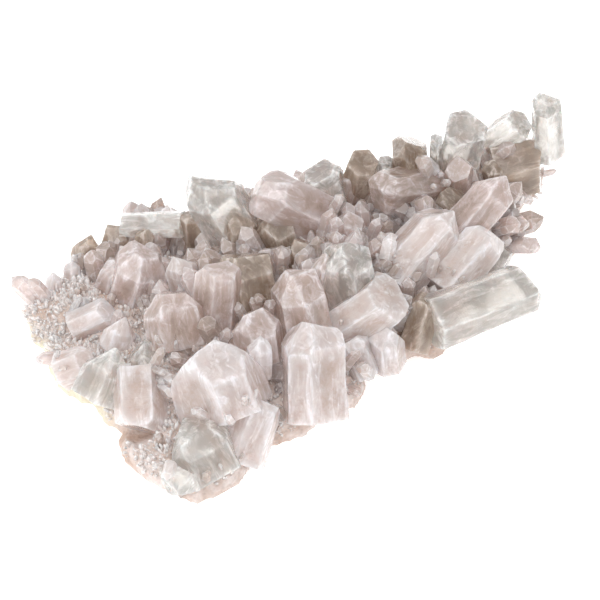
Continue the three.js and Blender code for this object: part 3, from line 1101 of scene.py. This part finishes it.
class CLUSTER_OT_druse(bpy.types.Operator):
    """Grow the small crystals on the rock between the large ones"""
    bl_idname = "cluster.druse"
    bl_label = "Druse"

    def execute(self, context):
        look = context.scene.cluster_druse
        quartz_look = context.scene.cluster_crystals
        rock = bpy.data.objects["matrix_rock"].data
        fine, coarse = look.fine_length, look.coarse_length
        fine_seeds = [seed_object(node, f"fine_seed_{i}", False) for i, node in enumerate(SEED_MODELS)]
        coarse_seeds = [seed_object(node, f"coarse_seed_{i}", True) for i, node in enumerate(SEED_MODELS)]
        fine_tree, coarse_tree = druse_tree(fine_seeds), druse_tree(coarse_seeds)
        # Each has its tree, ground and material, and its density per square metre, sizes and lean
        growths = {
            "fine_druse": (fine_tree, thinned(rock, 1.0, 0.5, on_walls=True), druse_quartz(), {
                "Density": 1.5e6, "Shortest": fine * 0.3, "Longest": fine * 1.2,
                "Lean": look.lean, "Seed": 3,
            }),
            "coarse_druse": (coarse_tree, thinned(rock, 0.1, 1.0), made_once("pink_quartz", quartz_look), {
                "Density": 1.7e5, "Shortest": coarse * 0.6, "Longest": coarse * 2.1,
                "Lean": look.lean * 1.4, "Seed": 11,
            }),
            "side_crystals": (coarse_tree, flanks_mesh(), made_once("milky_quartz", quartz_look), {
                "Density": 1.6e5, "Shortest": coarse * 0.4, "Longest": coarse * 1.6,
                "Lean": look.lean, "Seed": 23,
            }),
        }
        for name, (tree, ground, material, values) in growths.items():
            mesh = grow_druse(name, ground, tree, material, values)
            finish_piece(name, mesh, material, [ROCK], "clear_quartz")
        for seed in fine_seeds + coarse_seeds:
            bpy.data.objects.remove(seed)
        for tree in (fine_tree, coarse_tree):
            bpy.data.node_groups.remove(tree)
        return {"FINISHED"}


class CLUSTER_OT_stage(bpy.types.Operator):
    """Lay the floor, set the studio light and place the camera"""
    bl_idname = "cluster.stage"
    bl_label = "Stage"

    def execute(self, context):
        look = context.scene.cluster_stage
        lay_floor()
        set_world(look.light)
        place_camera(context, look)
        context.scene.view_settings.view_transform = "Standard"
        bounces = 24  # enough for light to pass through several crystals
        context.scene.cycles.max_bounces = bounces
        context.scene.cycles.transmission_bounces = bounces
        return {"FINISHED"}


def lay_floor():
    """A plain white sheet, matt like paper, lit a little from below as on a light table."""
    material, tree = new_material("white_paper")
    fibres = add(tree, "ShaderNodeTexNoise", {
        "Vector": add(tree, "ShaderNodeTexCoord").outputs["Object"], "Scale": per_mm(4), "Detail": 4.0,
    })
    tone = add(tree, "ShaderNodeMix", {
        0: fibres.outputs["Fac"], 6: linear("FBFBFB"), 7: linear("FFFFFF"),
    }, data_type="RGBA")
    shader = add(tree, "ShaderNodeBsdfPrincipled", {
        "Base Color": tone.outputs[2],
        "Roughness": 0.9,
        "Emission Color": (1, 1, 1, 1),
        "Emission Strength": 0.45,
    })
    add(tree, "ShaderNodeOutputMaterial", {"Surface": shader.outputs[0]})
    half = FLOOR_SIDE / 2
    mesh = bpy.data.meshes.new("floor")
    corners = [(-half, -half, 0), (half, -half, 0), (half, half, 0), (-half, half, 0)]
    mesh.from_pydata(corners, [], [(0, 1, 2, 3)])
    mesh.materials.append(material)
    floor = bpy.data.objects.new("floor", mesh)
    floor.location.z = -FLOOR_DROP
    bpy.context.scene.collection.objects.link(floor)


def set_world(strength):
    """A white tent, brighter toward the upper left, with one large soft window there."""
    world = bpy.data.worlds.new("light_tent")
    world.use_nodes = True
    tree = world.node_tree
    tree.nodes.clear()
    direction = add(tree, "ShaderNodeTexCoord").outputs["Generated"]
    toward_light = add(tree, "ShaderNodeVectorMath", {
        0: direction, 1: Vector(TENT_LIGHT).normalized(),
    }, operation="DOT_PRODUCT")
    tent = add(tree, "ShaderNodeMapRange", {
        "Value": toward_light.outputs["Value"],
        "From Min": -0.8, "From Max": 0.9, "To Min": 0.66, "To Max": 1.12,
    })
    toward_window = add(tree, "ShaderNodeVectorMath", {
        0: direction, 1: Vector(WINDOW).normalized(),
    }, operation="DOT_PRODUCT")
    window = add(tree, "ShaderNodeMapRange", {
        "Value": toward_window.outputs["Value"], "From Min": 0.82, "From Max": 0.96, "To Max": 1.5,
    }, interpolation_type="SMOOTHSTEP")
    total = add(tree, "ShaderNodeMath", {0: tent.outputs[0], 1: window.outputs[0]}, operation="ADD")
    scaled = add(tree, "ShaderNodeMath", {0: total.outputs[0], 1: strength}, operation="MULTIPLY")
    background = add(tree, "ShaderNodeBackground", {
        "Color": (1, 1, 1, 1), "Strength": scaled.outputs[0],
    })
    add(tree, "ShaderNodeOutputWorld", {"Surface": background.outputs[0]})
    bpy.context.scene.world = world


def place_camera(context, look):
    """A camera without shift or depth of field, aimed a little off the cluster's middle."""
    low, high = (Vector(corner) for corner in CAD_BOX)
    target = (high - low) * Vector(AIM)
    back = Vector((
        math.sin(look.azimuth) * math.cos(look.elevation),
        -math.cos(look.azimuth) * math.cos(look.elevation),
        math.sin(look.elevation),
    ))
    data = bpy.data.cameras.new("camera")
    data.lens = data.sensor_width * look.distance / look.seen_width
    data.clip_start = 0.01
    data.clip_end = 20
    camera = bpy.data.objects.new("camera", data)
    camera.location = target + back * look.distance
    camera.rotation_euler = (-back).to_track_quat("-Z", "Y").to_euler()
    context.scene.collection.objects.link(camera)
    context.scene.camera = camera


class CLUSTER_PT_panel(bpy.types.Panel):
    """Lists the cluster's building steps"""
    bl_idname = "CLUSTER_PT_panel"
    bl_label = "Quartz cluster"
    bl_space_type = "VIEW_3D"
    bl_region_type = "UI"
    bl_category = "Cluster"

    def draw(self, context):
        for operator in OPERATORS:
            self.layout.operator(operator.bl_idname)
        for name, group in SETTINGS.items():
            for prop in group.__annotations__:
                self.layout.prop(getattr(context.scene, name), prop)


SETTINGS = {
    "cluster_crystals": CrystalSettings,
    "cluster_rock": RockSettings,
    "cluster_druse": DruseSettings,
    "cluster_stage": StageSettings,
}
OPERATORS = (CLUSTER_OT_stage, CLUSTER_OT_rock, CLUSTER_OT_crystals, CLUSTER_OT_druse)


def register():
    for item in (*SETTINGS.values(), *OPERATORS, CLUSTER_PT_panel):
        bpy.utils.register_class(item)
    for name, group in SETTINGS.items():
        setattr(bpy.types.Scene, name, bpy.props.PointerProperty(type=group))


def unregister():
    for name in SETTINGS:
        delattr(bpy.types.Scene, name)
    for item in reversed((*SETTINGS.values(), *OPERATORS, CLUSTER_PT_panel)):
        bpy.utils.unregister_class(item)


def main():
    register()
    bpy.ops.cluster.stage()
    bpy.ops.cluster.rock()
    bpy.ops.cluster.crystals()
    bpy.ops.cluster.druse()


if __name__ == "__main__":
    main()
